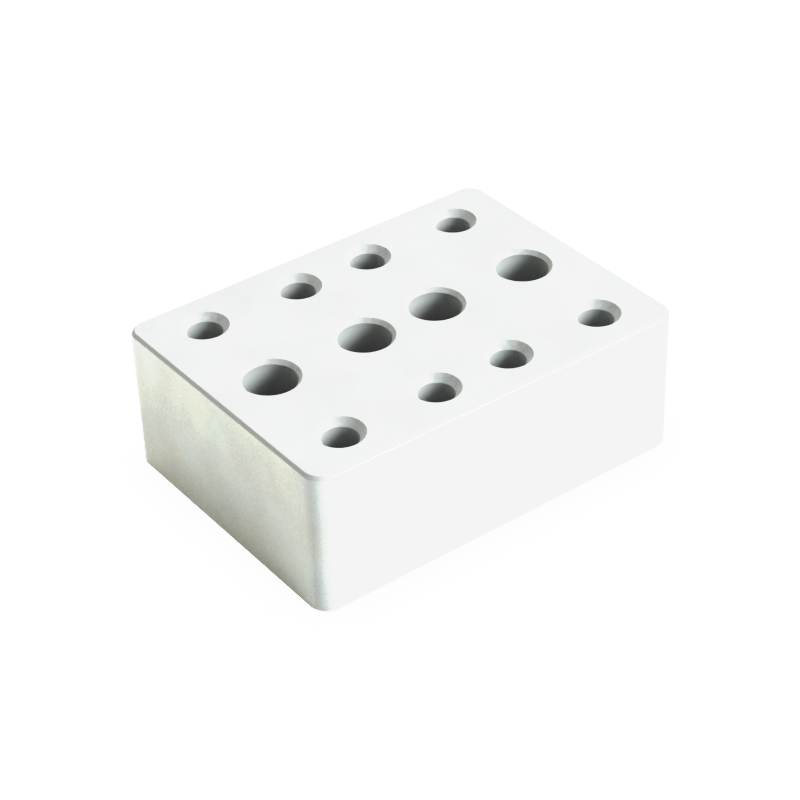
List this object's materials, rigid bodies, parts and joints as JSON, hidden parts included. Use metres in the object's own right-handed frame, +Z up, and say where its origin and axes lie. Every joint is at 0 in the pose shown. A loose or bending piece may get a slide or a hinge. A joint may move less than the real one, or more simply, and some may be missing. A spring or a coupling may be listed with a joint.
{
  "type": "heating block",
  "caption": "Rectangular aluminium heating block insert with rounded corners and rows of countersunk blind wells that hold sample tubes upright.",
  "frame": {"origin": "middle of the flat underside", "axes": "+X along the length, +Y across the width from the front row to the back row, +Z up out of the wells"},
  "size_m": [0.138, 0.1016, 0.0497],
  "materials": {
    "anodised_aluminium": "bead-blasted and clear-anodised, satin"
  },
  "bodies": {
    "root": {"heating_block": "anodised_aluminium"}
  },
  "joints": []
}
